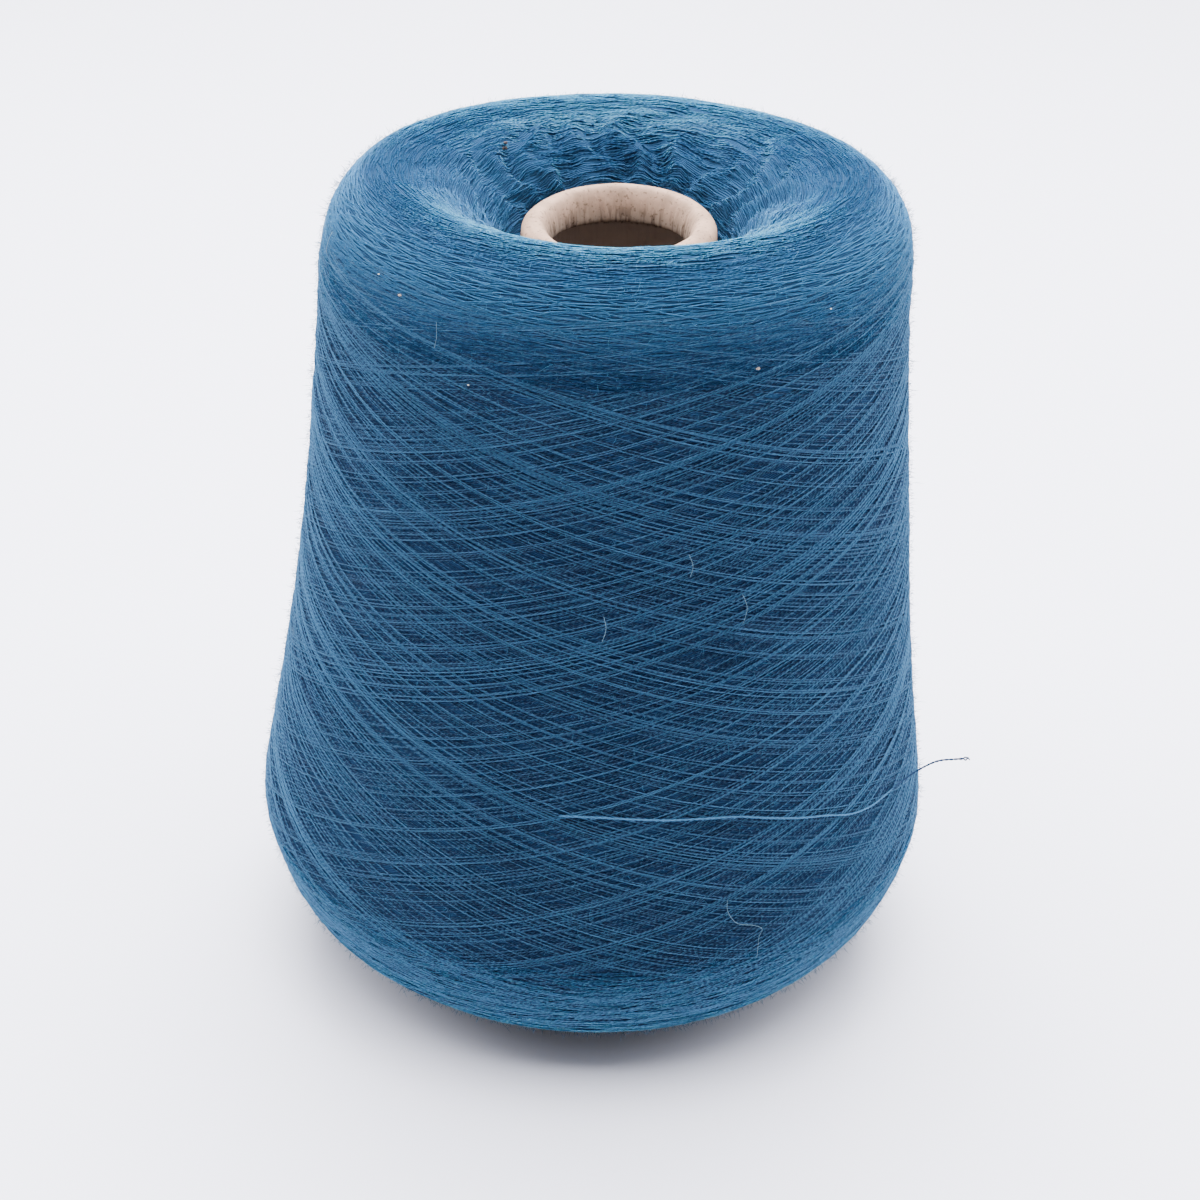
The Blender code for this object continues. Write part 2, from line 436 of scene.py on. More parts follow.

# %% [markdown]
# ## The yarn passes on the flank
# The traverse guide lays the yarn at 17.5 degrees, slows down near each end and comes back, so the yarn
# crosses itself in long diamonds on the flank and runs almost level at the shoulder and foot. A pass is
# worked out in one go: its speed along the outline eases in and out, and its turning follows from the
# speed that is left. At either side, the passes that run steeply in the photograph stand a little higher,
# and so show more than those that cross them. Their tone is also painted paler, and that of the passes
# they cross darker, as painted light and shade.

# %% Chance and tone
DEEPEST, HIGHEST = -0.34, 0.16
TONE_CURVE, TONE_SPREAD = 0.7, 0.1
rng = np.random.default_rng(8)


def wander(count, every, size):
    """A smooth random wander of this many values, with a new random value every few steps."""
    knots = rng.normal(0, size, count // every + 3)
    at = np.arange(count) / every
    low = at.astype(int)
    return knots[low] + (knots[low + 1] - knots[low]) * smooth_step(at - low)


def tone_at(lift):
    """Strands that lie deeper get less light, so they get a darker tone, with a little chance in it."""
    return np.clip((lift - DEEPEST) / (HIGHEST - DEEPEST), 0, 1) ** TONE_CURVE + rng.normal(0, TONE_SPREAD)


print("strands lie from", DEEPEST, "to", HIGHEST, "mm off the outline")


# %% One pass
YARN_RADIUS = 0.16
PASS_ANGLE = radians(17.5)
PASS_RAMP = 0.22
PASS_STEP = 8.0
PASS_SAMPLES = 300
END_DIVE = 0.5
CROSS_LIFT, CROSS_LIGHT = 0.07, 1.5


def flank_pass(start, end, angle, lift):
    """The route of one pass from start to end of the outline, from this angle on. Its two ends dive in."""
    u = np.linspace(0, 1, PASS_SAMPLES)
    speed = smooth_step(u / PASS_RAMP) * smooth_step((1 - u) / PASS_RAMP)
    length = abs(end - start) / (np.sin(PASS_ANGLE) * speed.mean())
    place = start + (end - start) * np.cumsum(speed) / speed.sum()
    turning = np.sqrt(1 - (np.sin(PASS_ANGLE) * speed) ** 2) * length / len(u)
    angles = angle + np.cumsum(turning / np.interp(place, along, outline[:, 0]))
    count = int(length / PASS_STEP)
    kept = np.linspace(0, 1, count)
    dive = END_DIVE * (2 * kept - 1) ** 16
    place = np.interp(kept, u, place) + wander(count, 2, 0.05) + wander(count, 9, 0.2)
    angles = np.interp(kept, u, angles)
    crossed = CROSS_LIFT * np.cos(angles) * np.sign(start - end)
    points, normals = on_winding(place, angles, lift - dive + crossed + wander(count, 3, 0.04))
    # A pass that stands higher gets a paler tone and one that lies lower a darker one: painted light and
    # shade, as with depth.
    return Route(points, normals, tone_at(lift) + crossed * CROSS_LIGHT)


# %% [markdown]
# The flank is wound in four layers, one piece each, and paler towards the top, as painted shade darkens
# the deeper layers. A layer has its number of passes, its lowest and highest lift in mm, and the most
# passes that lie side by side. Rising and falling passes take turns, and each starts a golden turn round
# from the last one of its kind, so that no part of the flank is left bare.

# %% Wind the flank
Layer = namedtuple("Layer", "name passes low high group")
LAYERS = (
    Layer("deep_passes", 240, DEEPEST, -0.22, 1),
    Layer("under_passes", 260, -0.22, -0.08, 1),
    Layer("middle_passes", 190, -0.08, 0.06, 1),
    Layer("outer_passes", 110, 0.04, HIGHEST, 2),
)
FLANK_RADIUS = 66
SHOULDER_SPREAD, FOOT_SPREAD = 3.5, 4.0
GROUP_GAP = 0.55
GOLDEN_TURN = 2 * pi * 0.618034


def wind(layer):
    """One piece with this layer's passes, rising and falling in turn, in groups of up to layer.group."""
    routes, first = [], rng.uniform(0, 2 * pi, 2)
    for number in range(layer.passes):
        start, end = FOOT + rng.normal(0, FOOT_SPREAD), SHOULDER + rng.normal(0, SHOULDER_SPREAD)
        if number % 2:
            start, end = end, start
        angle = first[number % 2] + GOLDEN_TURN * (number // 2) + rng.normal(0, 0.01)
        lift = rng.uniform(layer.low, layer.high)
        for _ in range(rng.integers(1, layer.group + 1)):
            routes.append(flank_pass(start, end, angle, lift))
            angle += rng.uniform(0.8, 1.5) * GROUP_GAP / np.sin(PASS_ANGLE) / FLANK_RADIUS
            lift += rng.normal(0, 0.02)
        if len(routes) >= layer.passes:
            break
    return strands(layer.name, routes, YARN_RADIUS, ends=0.3)


flank_pieces = [wind(layer) for layer in LAYERS]

# %% [markdown]
# ## The turns on the crown and the foot
# The two end faces are built up from the turning points of thousands of passes, so the yarn lies there
# almost level, in arcs that rise out of the winding and dive back into it. Each arc wavers and kinks a
# little, because the yarn lies slack there and felts together. Each arc also takes painted light and shade
# from its place: the rim is painted paler, as painted light, and the yarn is painted darker in the dish,
# below the shoulder and on the foot, as painted shade. A band has its two ends and the gap between its rows
# of arcs, in mm along the outline, then the step between an arc's points, its slope, and how crumpled it is.

# %% One arc
Band = namedtuple("Band", "name start end spacing step slope crumple")
BANDS = (
    Band("nose_turns", 0.8, 30, 0.24, 1.6, 0.06, 1.0),
    Band("crown_turns", 27, SHOULDER + 9, 0.22, 2.3, 0.09, 0.85),
    Band("foot_turns", FOOT - 14, LENGTH - 1.5, 0.6, 5.0, 0.03, 0.1),
)
KINK = 0.08
# Painted light and shade by place along the outline: paler on the rim, darker in the dish, below the
# shoulder and on the foot.
LIGHT_AND_SHADE_PLACES = (0, 22, 34, 40, 45, 50, 54, 60, 68, 150)
PLACE_LIGHT_AND_SHADE = (-0.5, -0.6, -2.0, -1.6, 0.9, 1.5, 0.8, -1.3, -2.2, -1.4)


def arc(band, middle, start, length):
    """One arc, slightly aslant, that weaves over and under its neighbours and dives at its ends."""
    count = max(5, int(length / band.step))
    t = np.linspace(-1, 1, count)
    slant = rng.normal(0, band.slope) * min(1, middle / 6) * length / 2
    place = middle + rng.normal(0, 0.15) + slant * t + wander(count, 2, 0.08 + 0.12 * band.crumple)
    place = place + rng.normal(0, KINK, count)
    low = rng.uniform(-0.04 - 0.03 * band.crumple, 0.05)
    lift = low - END_DIVE * t ** 6 + wander(count, 1, 0.02 + 0.04 * band.crumple)
    radius = float(np.interp(middle, along, outline[:, 0]))
    angles = start + length * (1 + t) / 2 / radius
    points, normals = on_winding(np.clip(place, 0.4, LENGTH - 0.4), angles, lift)
    # Its tone holds painted shade from its depth and painted light and shade from its place.
    return Route(points, normals, tone_at(low) + np.interp(middle, LIGHT_AND_SHADE_PLACES, PLACE_LIGHT_AND_SHADE))


# %% Row after row of arcs
SHORTEST_ARC, LONGEST_ARC, CRUMPLED_LESS = 9, 32, 12
ARC_SHARE = 0.94


def lay_arcs(band):
    """One piece with row after row of arcs over a band of the outline, each overlapping the last."""
    routes = []
    for middle in np.arange(band.start, band.end, band.spacing):
        around = 2 * pi * float(np.interp(middle, along, outline[:, 0]))
        run, start = 0, rng.uniform(0, 2 * pi)
        while run < around:
            length = rng.uniform(SHORTEST_ARC, LONGEST_ARC - CRUMPLED_LESS * band.crumple)
            routes.append(arc(band, middle, start + run / around * 2 * pi, length))
            run += length * ARC_SHARE
    return strands(band.name, routes, YARN_RADIUS, ends=0.3)


end_faces = [lay_arcs(band) for band in BANDS]

# %% [markdown]
# ## The halo of fibres
# Short fibres stand off every soft yarn. They catch the light at the edges and blur the outline, so
# thousands of fine hairs are rooted all over the winding, more of them on the crown. Each bends once, and
# is thickest in its middle and pointed at both ends. In the dish they are thinner and rise less.

# %% Hairs as one mesh
def spindles(name, points, normals, radius, tones):
    """Hairs of three points each, as one closed mesh."""
    ahead = points[:, 2] - points[:, 0]
    ahead /= np.linalg.norm(ahead, axis=1, keepdims=True)
    side = np.cross(ahead, normals[:, 1])
    side /= np.linalg.norm(side, axis=1, keepdims=True)
    turn = (np.arange(3) * 2 * pi / 3)[:, None]
    ring = np.cos(turn) * np.cross(side, ahead)[:, None] + np.sin(turn) * side[:, None]
    corners = np.concatenate([points[:, :1], points[:, 1:2] + ring * radius, points[:, 2:]], axis=1)
    around = np.array([(0, 2, 1), (0, 3, 2), (0, 1, 3), (4, 1, 2), (4, 2, 3), (4, 3, 1)])
    faces = (np.arange(len(points))[:, None, None] * 5 + around).reshape(-1, 3)
    none = np.zeros((0, 4), int)
    no_uvs = np.zeros((0, 2))
    return joined_mesh(name, corners.reshape(-1, 3) * MM, none, faces, no_uvs, np.repeat(tones, 5))


# %% Grow the halo
HAIRS = 19000
HAIR_RADIUS = 0.042
HAIR_FOOT, HAIR_RISE = 0.25, 0.22
LONG_SHARE, LONG_STEP, SHORT_STEP = 0.2, 0.6, 0.16
DISH_RISE, DISH_RADIUS = 0.3, 0.35
DISH_END, DISH_FADE = 33, 14
CROWN_HAIR = 1.2
area = np.cumsum(outline[:, 0] * np.gradient(along) * (1 + CROWN_HAIR * (along < SHOULDER)))
area /= area[-1]


def fibres(count):
    """The points, normals and radii of fibres that leave the surface on random headings and rise from it."""
    t = np.linspace(0, 1, 3)
    heading = rng.uniform(0, 2 * pi, (count, 1)) + rng.normal(0, 0.8, (count, 1)) * t
    step = rng.gamma(3.0, np.where(rng.random((count, 1)) < LONG_SHARE, LONG_STEP, SHORT_STEP)) / 2
    rise = HAIR_FOOT + rng.gamma(4.0, HAIR_RISE, (count, 1)) * t
    root = np.interp(rng.random((count, 1)), area, along)
    grown = smooth_step((root - DISH_END) / DISH_FADE)
    rise *= DISH_RISE + (1 - DISH_RISE) * grown
    radius = HAIR_RADIUS * (DISH_RADIUS + (1 - DISH_RADIUS) * grown)
    across = np.cumsum(step * np.sin(heading), axis=1)
    turned_by = np.cumsum(step * np.cos(heading), axis=1) / np.interp(root, along, outline[:, 0])
    angle = rng.uniform(0, 2 * pi, (count, 1)) + turned_by
    return (*on_winding(np.clip(root + across, 1, LENGTH - 1), angle, rise), radius[:, None])


halo = []
for number in (1, 2):
    points, normals, radius = fibres(HAIRS)
    halo.append(spindles(f"fibre_halo_{number}", points, normals, radius, rng.uniform(0, 1, HAIRS)))

# %% [markdown]
# ## The paper cone
# The core is a tapered paper tube. Its nose is rolled inwards, which leaves a fat round lip, and the
# paper crumples into small upright pleats where it is drawn into the smaller mouth. The section is spun
# like the body, and the pleats are moved in by the place that each point keeps: its angle round the roll,
# from 0 outside to pi inside.

# %% Roll the cone
CONE_TAPER = np.tan(radians(4 + 20 / 60))
CONE_WALL = 2.9
ROLL_WIDTH, ROLL_HEIGHT = 6.5, 5.6
FLAP_FOOT, FLAP_RADIUS = 5.0, 14.2
FLAP_EDGE = ((1.0, 0.5), (0.7, -0.3), (0.2, -0.4))
ROLL_POINTS = 28
RIM_ROUND = 0.6
CONE_STEPS = 256
cone_height = (cone_high[2] - cone_low[2]) / MM
base_radius = (cone_high[0] - cone_low[0]) / MM / 2
roll_height = cone_height - ROLL_HEIGHT / 2
roll_radius = base_radius - roll_height * CONE_TAPER - ROLL_WIDTH / 2
print(f"paper cone {cone_height:.1f} mm tall, middle of the lip {roll_radius:.1f} mm from the axis")


# %% The cone's section
def wall(inward, heights):
    """Points of the cone's straight wall, this far in from its outside."""
    return [(base_radius - height * CONE_TAPER - inward, height) for height in heights]


def quarter(angles, width, foot, height):
    """A quarter of the lip's section: these angles of an oval with its middle at the height of foot."""
    return [(roll_radius + width * np.cos(a), foot + height * np.sin(a)) for a in angles]


sweep = np.linspace(pi, 0, ROLL_POINTS)
flap_foot = cone_height - FLAP_FOOT
roll = quarter(sweep[:ROLL_POINTS // 2], roll_radius - FLAP_RADIUS, flap_foot, FLAP_FOOT)
roll += quarter(sweep[ROLL_POINTS // 2:], ROLL_WIDTH / 2, roll_height, ROLL_HEIGHT / 2)
flap = [(FLAP_RADIUS + outwards, flap_foot + up) for outwards, up in FLAP_EDGE]
outside = wall(0, np.linspace(roll_height - 5, RIM_ROUND, 10))
rim = wall(RIM_ROUND, [0]) + wall(CONE_WALL - RIM_ROUND, [0])
inside = wall(CONE_WALL, np.linspace(RIM_ROUND, flap_foot + 0.6, 12))
cone_profile = np.array(flap + roll + outside + rim + inside)
cone_places = np.zeros(len(cone_profile))
cone_places[:len(flap)] = pi
cone_places[len(flap):len(flap) + ROLL_POINTS] = sweep
paper_core = turned("paper_core", cone_profile, CONE_X, CONE_STEPS, cone_places)

# %% [markdown]
# The mouth is crumpled by a few waves round it, written as their count, height and phase, and the lip is
# uneven in the same way. The whole nose leans a little, and the flap that is rolled in reaches deeper at
# the back. The places are angles round the roll, so each part of it gets its own share.

# %% Crumple the mouth
PLEATED_MOUTH = ((17, 0.06, 1.3), (38, 0.06, 0.2), (61, 0.06, 4.0), (83, 0.04, 2.2))
UNEVEN_LIP = ((2, 0.16, 0.4), (3, 0.12, 2.9), (7, 0.06, 5.1))
NOSE_LEAN, NOSE_DROP, NOSE_SIDE = 1.4, 0.5, 0.2
NOSE_FROM, NOSE_BLEND = 150, 12
LONG_FLAP = 1.0
CRUMPLE_FROM, CRUMPLE_BLEND = 1.9, 1.1
FLAP_FROM, FLAP_BLEND = 1.8, 1.3
points, places = points_and_places(paper_core)
from_axis = points[:, :2] - (CONE_X / MM, 0)
angle = np.arctan2(from_axis[:, 1], from_axis[:, 0])
crumple = sum(size * np.sin(count * angle + phase) for count, size, phase in PLEATED_MOUTH)
uneven = sum(size * np.sin(count * angle + phase) for count, size, phase in UNEVEN_LIP)
outwards = np.stack([np.cos(angle), np.sin(angle)], axis=1)
reach = crumple * smooth_step((places - CRUMPLE_FROM) / CRUMPLE_BLEND)
reach = reach + uneven * np.where(places > 1, np.sin(places), 0)
points[:, :2] += outwards * reach[:, None]
points[:, 2] -= np.abs(uneven) * np.clip(np.sin(places), 0, 1)
lean = NOSE_LEAN * np.sin(angle) + NOSE_SIDE * np.cos(angle) - NOSE_DROP
points[:, 2] += lean * smooth_step((points[:, 2] - NOSE_FROM) / NOSE_BLEND)
points[:, 2] -= LONG_FLAP * (1 + np.sin(angle)) * smooth_step((places - FLAP_FROM) / FLAP_BLEND)
move_to(paper_core, points)
print(f"the nose now reaches {points[:, 2].max():.1f} mm")

# %% [markdown]
# ## Lint and stray fibres
# A used cone picks up specks: small tangled neps in the yarn, undyed flecks, a dark tuft in the dish and
# a few stray hairs. A nep is a short fibre wound round itself, so each is a little tangle of hair, and
# the strays follow listed points.

# %% Where the lint lies
Speck = namedtuple("Speck", "angle place size")
NEPS = (Speck(-133, 55.0, 0.62), Speck(-64, 63.1, 0.7))
FLECKS = (Speck(-140, 53.1, 0.34), Speck(-116, 68.1, 0.3), Speck(-48, 55.0, 0.3))
TUFT = (Speck(138.5, 21.5, 1.1), Speck(137.0, 22.3, 0.8))
TANGLE_KNOTS = 15
LONG_STRAY = (
    (-67.5, 176.0),
    (-67.5, 178.5),
    (-66.0, 181.5),
    (-63.0, 183.0),
    (-61.5, 184.5),
    (-62.0, 186.5),
    (-62.0, 191.5),
)
STRAYS = (
    LONG_STRAY,
    ((-75.9, 99.0), (-75.2, 101.5), (-75.6, 104.0)),
    ((-90.3, 111.5), (-89.8, 114.0), (-90.4, 117.0)),
    ((-65.9, 109.0), (-65.1, 112.0), (-65.7, 115.5)),
    ((-123.4, 57.5), (-122.7, 60.0), (-123.2, 62.5)),
    ((-162.6, 52.5), (-161.8, 54.5), (-162.4, 57.0)),
)


print(len(NEPS) + len(FLECKS) + len(TUFT), "specks and", len(STRAYS), "stray hairs")


# %% Wind the lint
def tangle(speck):
    """A short fibre wound round itself at this angle (degrees) and place on the winding."""
    centre, normal = on_winding(speck.place, np.radians(speck.angle), 0.25)
    centre = centre + normal * speck.size * 0.3
    knots = rng.normal(0, 1, (TANGLE_KNOTS, 3))
    knots = knots / np.linalg.norm(knots, axis=1, keepdims=True) * speck.size * (0.5, 0.4, 0.3)
    points = centre + through(knots, 5)
    return Route(points, points - centre + normal, 0.5)


def stray(knots):
    """A loose hair through these angles and places, which stands off the winding in its middle."""
    angle, place = through(knots, 6).T
    lift = 0.45 + 0.5 * np.sin(np.linspace(0, pi, len(angle)))
    return Route(*on_winding(place, np.radians(angle), lift), 1.0)


nep_tangles = strands("brown_neps", [tangle(speck) for speck in NEPS], 0.08, sides=4, ends=0.5)
fleck_tangles = strands("pale_flecks", [tangle(speck) for speck in FLECKS], 0.06, sides=4, ends=0.5)
dark_tuft = strands("dark_tuft", [tangle(speck) for speck in TUFT], 0.1, sides=4, ends=0.5)
stray_hairs = strands("stray_hairs", [stray(knots) for knots in STRAYS], 0.042, sides=4, ends=0.3)

# %% [markdown]
# ## Shader maths
# The finishes are sums of patterns. One small class wraps a socket, so that a pattern can be written as
# plain Python, and one method makes any other node from its type, its settings and its sockets.

# %% A class for shader sums
class Field:
    """A socket that can be added, multiplied and so on."""

    def __init__(self, finish, socket):
        self.finish, self.socket = finish, socket

    def math(self, operation, first, second=0.0):
        return self.finish.node("Math", {"operation": operation}, {0: first, 1: second})

    def root(self):
        return self.math("SQRT", self)

    def __add__(self, other):
        return self.math("ADD", self, other)

    def __sub__(self, other):
        return self.math("SUBTRACT", self, other)

    def __rsub__(self, other):
        return self.math("SUBTRACT", other, self)

    def __mul__(self, other):
        return self.math("MULTIPLY", self, other)

    __radd__, __rmul__ = __add__, __mul__

    def sine(self):
        return self.math("SINE", self)

    def over(self, low, high):
        """0 below low, 1 above high, and a smooth step between them."""
        ends = {"Value": self, "From Min": low, "From Max": high}
        return self.finish.node("MapRange", {"interpolation_type": "SMOOTHSTEP"}, ends)


# %% A class for finishes
class Finish:
    """A Principled material that is built up from patterns."""

    def __init__(self, name, roughness, **constants):
        self.material = bpy.data.materials.new(name)
        self.material.use_nodes = True
        self.tree = self.material.node_tree
        self.shader = self.tree.nodes["Principled BSDF"]
        self.feed(Roughness=roughness, **constants)

    def node(self, kind, settings, sockets, out=0):
        """A node of this kind: its settings first, then the values or links of its sockets."""
        made = self.tree.nodes.new("ShaderNode" + kind)
        for setting, value in settings.items():
            setattr(made, setting, value)
        for socket, value in sockets.items():
            self.put(made.inputs[socket], value)
        return Field(self, made.outputs[out])

    def put(self, socket, value):
        if isinstance(value, Field):
            self.tree.links.new(value.socket, socket)
        else:
            socket.default_value = value

    def feed(self, **values):
        """Sets or links the shader's sockets. An underscore in a name stands for a space."""
        for socket, value in values.items():
            self.put(self.shader.inputs[socket.replace("_", " ")], value)

    def place(self):
        return self.node("TexCoord", {}, {}, out="Object")

    def parts(self, vector):
        """The x, y and z of a vector."""
        split = self.node("SeparateXYZ", {}, {0: vector}).socket.node
        return [Field(self, socket) for socket in split.outputs]

    def noise(self, scale, detail=2.0, vector=None):
        sockets = {"Vector": vector or self.place(), "Scale": scale, "Detail": detail}
        return self.node("TexNoise", {}, sockets)

    def mix(self, share, first, second):
        """A colour that goes from the first to the second as share goes from 0 to 1."""
        return self.node("Mix", {"data_type": "RGBA"}, {0: share, 6: first, 7: second}, out=2)

    def bump(self, height, depth):
        """Raises the surface by a height of 0 to 1, times this depth in mm."""
        raised = self.node("Bump", {}, {"Height": height, "Distance": depth * MM, "Strength": 1.0})
        self.feed(Normal=raised)


def colour(red, green, blue):
    return red, green, blue, 1.0


# %% [markdown]
# ## The dyed yarn
# The yarn is a soft, matt two-ply in petrol blue. On the flank a little sheen pales the edges, where the
# fibres catch the light. Its colour changes from strand to strand with its tone, and along the strand in
# dashes; the tone also holds painted shade on deeper strands and painted light and shade by place. The
# sides of each strand are painted darker, as painted shade where the strands nest. The two plies show as
# slanting stripes, painted darker between the plies as painted shade and raised a little, from the UV map
# that follows the yarn. The flank and the crown are lit and shaded copies of one yarn: the flank's colours
# are painted darker, as painted shade, and the crown's paler, as painted light. On the crown the yarn is
# felted, so its shades lie closer together and some light passes through it, which a shallow subsurface
# gives.

# %% A finish for yarn
Dye = namedtuple("Dye", "dark middle tinge pale")


def yarn_finish(name, dye, nest_shade, twist, depth, brightness, **constants):
    """Two-ply yarn. nest_shade paints shade on a strand's sides where it nests, twist parts its plies, depth
    weighs its tone.
    """
    finish = Finish(name, 0.85, **constants)
    u, v, _ = finish.parts(finish.node("UVMap", {"uv_map": "UVMap"}, {}))
    tone = finish.node("Attribute", {"attribute_name": "tone"}, {}, out="Fac")
    # A strand's sides, away from its top, are painted darker: painted shade where strands nest among others.
    lit_ridge = (v * (2 * pi) + pi / 2).sine() * 0.5 + 0.5
    # The plies are painted darker where they part: painted shade in the grooves of the twist.
    ply = (u * (4 * pi / PLY_PITCH) + v * (4 * pi)).sine() * 0.5 + 0.5
    patches = finish.noise(45, 3)
    fuzz = finish.noise(1500, 2)
    dash = finish.noise(1, 1, finish.node("CombineXYZ", {}, {0: u * 0.8, 1: tone * 90}))
    share = tone * depth + (lit_ridge * lit_ridge - 1) * nest_shade + patches * 0.24 + (ply - 0.5) * twist
    share = share + fuzz * 0.3 + dash * 0.5 + brightness
    middle = finish.mix(finish.noise(260, 2).over(0.4, 0.62), dye.middle, dye.tinge)
    shaded = finish.mix(share.over(0.0, 0.5), dye.dark, middle)
    finish.feed(Base_Color=finish.mix(share.over(0.4, 1.05), shaded, dye.pale))
    finish.bump(ply * twist + finish.noise(2600) * 0.3, 0.12)
    return finish.material


# %% Dye the yarn
# The flank and the crown are lit and shaded copies of one yarn: the flank colours are painted darker, as
# painted shade, and the crown colours paler, as painted light.
SHADED_FLANK_DYE = Dye(
    dark=colour(0.0034, 0.0115, 0.036),
    middle=colour(0.0130, 0.0345, 0.077),
    tinge=colour(0.0185, 0.0340, 0.076),
    pale=colour(0.0500, 0.1480, 0.270),
)
LIT_CROWN_DYE = Dye(
    dark=colour(0.0075, 0.0290, 0.068),
    middle=colour(0.0195, 0.0640, 0.133),
    tinge=colour(0.0220, 0.0610, 0.130),
    pale=colour(0.0335, 0.1100, 0.213),
)
SHEEN = dict(Sheen_Roughness=0.45, Sheen_Tint=colour(0.35, 0.62, 0.9))
FLANK_SOCKETS = dict(Specular_IOR_Level=0.08, Sheen_Weight=0.08, **SHEEN)
CROWN_SOCKETS = dict(
    IOR=1.08,
    Specular_IOR_Level=0.0,
    Subsurface_Weight=0.5,
    Subsurface_Radius=(0.7, 1.0, 1.2),
    Subsurface_Scale=0.35 * MM,
)
# The brightness of each finish is part of the same painted light and shade: lowest on the flank, highest on
# the crown.
flank_yarn = yarn_finish(
    "dyed_yarn_passes", SHADED_FLANK_DYE, nest_shade=0.75, twist=0.45, depth=0.78, brightness=-0.23, **FLANK_SOCKETS
)
crown_yarn = yarn_finish(
    "dyed_yarn_turns", LIT_CROWN_DYE, nest_shade=0.12, twist=0.5, depth=0.3, brightness=-0.04, **CROWN_SOCKETS
)
end_yarn = yarn_finish(
    "dyed_yarn_end", SHADED_FLANK_DYE, nest_shade=0.2, twist=0.3, depth=0.6, brightness=-0.05, Specular_IOR_Level=0.08
)
print("yarn finishes:", flank_yarn.name, crown_yarn.name, end_yarn.name)

# %% [markdown]
# The body underneath is the same yarn in deep shade. Its turns are too deep to see one by one, so rings
# and slanting lines are drawn from the Object coordinates, and most of it stays dark.

# %% Shade the body
DEEP_DARK = colour(0.0055, 0.0185, 0.050)
DEEP_MID = colour(0.0190, 0.0600, 0.125)
RING_PITCH = 0.42
LINE_COUNT = round(2 * pi * FLANK_RADIUS * np.tan(PASS_ANGLE) / RING_PITCH)

deep = Finish("deep_yarn", 0.95, Specular_IOR_Level=0.05)
x, y, z = deep.parts(deep.place())
turn = deep.node("Math", {"operation": "ARCTAN2"}, {0: y, 1: x}) * LINE_COUNT
place = deep.node("Attribute", {"attribute_name": "place"}, {}, out="Fac") * (2 * pi / RING_PITCH)
rings = place.sine() * 0.5 + 0.5
side = deep.noise(160, 0).over(0.44, 0.56)
crossed = (turn + place).sine() * side * 0.5 + (turn - place).sine() * (1 - side) * 0.5 + 0.5
flank = z.over(0.02, 0.035) * (1 - z.over(0.14, 0.16))
lines = crossed * flank + rings * (1 - flank)
# Off the flank, on the crown and the foot, the painted shade is lighter.
shade = lines * 0.6 + deep.noise(60, 3) * 0.5 + (1 - flank) * 0.25
deep.feed(Base_Color=deep.mix(shade.over(0.2, 1.0), DEEP_DARK, DEEP_MID))
deep.bump(lines, 0.2)
print(LINE_COUNT, "slanting lines round the body")

# %% [markdown]
# ## The paper
# The nose is pale beige paper, mottled, with small dark specks and, where it is rolled in, dark upright
# lines of painted shade in its creases. The paper is painted darker from the lower part of the flap down
# into the bore, as painted shade inside the mouth. Below the flap the inside is browner. The mottling is
# noise, and the grain and the crease shade are noise that a Mapping node stretches upwards.

# %% Colour the paper
PAPER_PALE = colour(0.455, 0.290, 0.200)
PAPER_MID = colour(0.34, 0.22, 0.150)
# This colour darkens the paper from the lower flap down into the bore, inside the mouth: painted shade.
PAPER_FLAP_SHADE = colour(0.190, 0.155, 0.122)
PAPER_BROWN = colour(0.33, 0.27, 0.235)
# The specks are dark paper; the same colour paints the shade in the creases.
PAPER_SPECK_AND_CREASE_SHADE = colour(0.05, 0.030, 0.020)

paper = Finish("pale_paper_cone", 0.85, Specular_IOR_Level=0.15)
x, y, z = paper.parts(paper.place())
across = x - CONE_X
from_axis = (across * across + y * y).root()
inside = 1 - (from_axis + z * CONE_TAPER).over((base_radius - CONE_WALL) * MM, (base_radius - 1) * MM)
mouth = z.over((flap_foot - 3) * MM, (flap_foot + 4.4) * MM)
below = 1 - z.over((flap_foot - 3.4) * MM, (flap_foot - 2.6) * MM)
stretched = paper.node("Mapping", {}, {"Vector": paper.place(), "Scale": (1, 1, 0.12)})
grain = paper.noise(420, 4, stretched)
mottle = paper.noise(260, 4)
specks = paper.noise(1300, 3).over(0.56, 0.70)
# Dark upright lines where the paper is rolled in: painted shade in its creases.
crease_shade = paper.noise(1000, 2, stretched).over(0.48, 0.60) * inside * (1 - mouth)
light = paper.mix((mottle * 0.7 + grain * 0.4).over(0.38, 0.68), PAPER_MID, PAPER_PALE)
light = paper.mix(inside * (1 - mouth), light, PAPER_FLAP_SHADE)
light = paper.mix(specks * 0.5 + crease_shade * 0.8, light, PAPER_SPECK_AND_CREASE_SHADE)
paper.feed(Base_Color=paper.mix(inside * below * (0.75 + mottle * 0.25), light, PAPER_BROWN))
paper.bump(grain * 0.5 + mottle * 0.5, 0.5)
print("paper browner below", round(float(flap_foot - 3), 1), "mm inside")

# %% [markdown]
# ## Fibres and lint
# The halo is the same dye seen in single fibres, so it is paler. The neps are brown, the flecks are
# undyed, the tuft is almost black, and the stray hairs are a greyer blue than the yarn.

# %% Colour the fibres
fibre = Finish("dyed_fibre", 0.7, Specular_IOR_Level=0.15, **SHEEN, Sheen_Weight=0.05)
tone = fibre.node("Attribute", {"attribute_name": "tone"}, {}, out="Fac")
fibre.feed(Base_Color=fibre.mix(tone, colour(0.018, 0.075, 0.15), colour(0.045, 0.17, 0.29)))

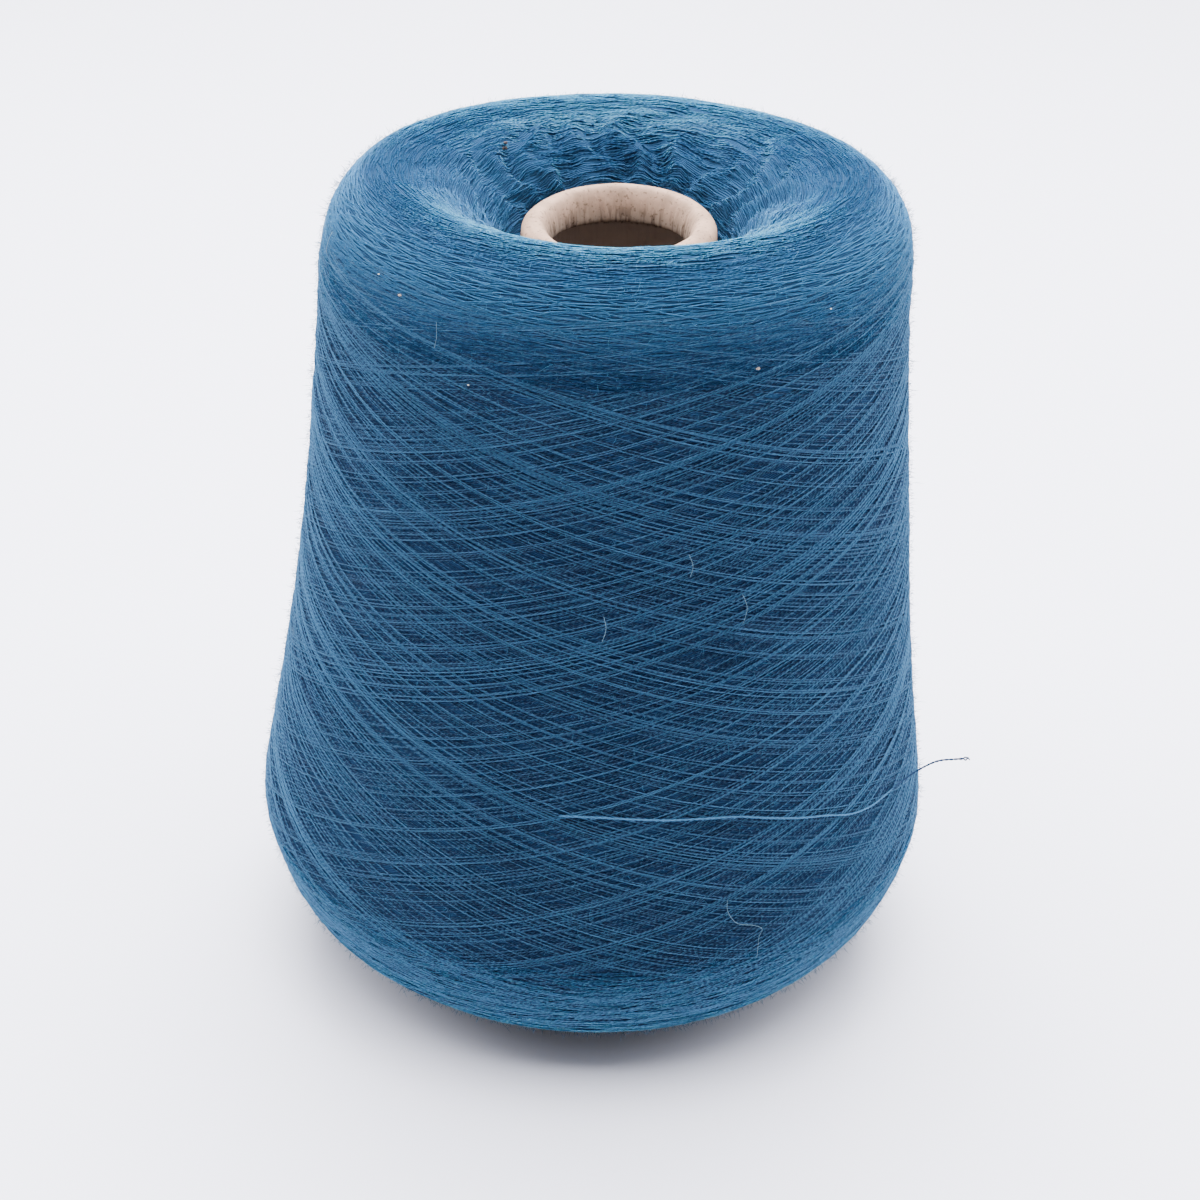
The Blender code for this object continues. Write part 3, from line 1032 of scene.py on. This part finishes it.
nep = Finish("brown_lint", 0.9)
nep.feed(Base_Color=nep.mix(nep.noise(3000), colour(0.26, 0.20, 0.16), colour(0.48, 0.41, 0.35)))
fleck = Finish("pale_lint", 0.9)
fleck.feed(Base_Color=fleck.mix(fleck.noise(3000), colour(0.62, 0.60, 0.55), colour(0.85, 0.84, 0.80)))
tuft = Finish("dark_lint", 0.9)
patches = tuft.noise(1800).over(0.4, 0.6)
tuft.feed(Base_Color=tuft.mix(patches, colour(0.012, 0.012, 0.016), colour(0.14, 0.10, 0.09)))
strays = Finish("stray_lint", 0.8)
strays.feed(Base_Color=strays.mix(strays.noise(900), colour(0.08, 0.18, 0.26), colour(0.20, 0.33, 0.42)))
print("lint finishes:", *(finish.material.name for finish in (fibre, nep, fleck, tuft, strays)))

# %% [markdown]
# ## Hand the pieces over
# Every piece rides on the one body. The yarn, the paper and the thread each stand for the plain solid
# that they replace, and the lint is added to the winding.

# %% Ride and replace
FINISHES = (
    (winding_body, deep.material, "dyed_yarn", "yarn_package"),
    *((piece, flank_yarn, "dyed_yarn", "yarn_package") for piece in flank_pieces),
    *((piece, crown_yarn, "dyed_yarn", "yarn_package") for piece in end_faces),
    *((piece, fibre.material, "dyed_yarn", "yarn_package") for piece in halo),
    (nep_tangles, nep.material, "dyed_yarn", None),
    (fleck_tangles, fleck.material, "dyed_yarn", None),
    (dark_tuft, tuft.material, "dyed_yarn", None),
    (stray_hairs, strays.material, "dyed_yarn", None),
    (paper_core, paper.material, "pale_paper", "paper_cone"),
    (loose_thread, end_yarn, "dyed_thread", "loose_end"),
)
for piece, material, slot, node in FINISHES:
    piece.data.materials.append(material)
    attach(piece, "root")
    if node:
        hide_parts(node)
print(len(FINISHES), "pieces dressed")

# %% [markdown]
# ## Floor and light
# The cone stands on a plain white table in a soft, bright room. A large lamp hangs overhead, a second one
# behind lights the far rim, and a weak one at each side does the work of a pale wall. The side that faces
# the camera gets the least light, which gives the flank its dark middle.

# %% Floor, lamps and sky
bpy.ops.object.select_all(action="DESELECT")
bpy.ops.mesh.primitive_plane_add(size=6)
floor = bpy.context.object
floor.name = "floor"
table = Finish("white_table", 0.6)
table.feed(Base_Color=table.mix(table.noise(2), colour(0.84, 0.835, 0.91), colour(0.855, 0.85, 0.925)))
floor.data.materials.append(table.material)

Lamp = namedtuple("Lamp", "name place width power")
LAMPS = (
    Lamp("top_light", (0.0, 0.1, 1.3), 1.5, 90),
    Lamp("back_light", (0.0, 0.8, 1.2), 1.2, 62),
    Lamp("left_wall", (-1.0, 0.2, 0.55), 1.0, 20),
    Lamp("right_wall", (1.0, 0.2, 0.55), 1.0, 18),
)
LAMP_AIM = Vector((0, 0, 0.08))
LAMP_COLOUR = (0.93, 0.94, 1.0)
for lamp in LAMPS:
    data = bpy.data.lights.new(lamp.name, "AREA")
    data.size, data.energy, data.color = lamp.width, lamp.power, LAMP_COLOUR
    lit = bpy.data.objects.new(lamp.name, data)
    bpy.context.scene.collection.objects.link(lit)
    lit.location = lamp.place
    lit.rotation_euler = (LAMP_AIM - Vector(lamp.place)).to_track_quat("-Z", "Y").to_euler()
    lit.visible_camera = False

sky = bpy.data.worlds.new("pale_room")
sky.use_nodes = True
sky.node_tree.nodes["Background"].inputs["Color"].default_value = colour(0.97, 0.98, 1.0)
sky.node_tree.nodes["Background"].inputs["Strength"].default_value = 0.15
bpy.context.scene.world = sky
print(len(LAMPS), "lamps of", sum(lamp.power for lamp in LAMPS), "W in all")
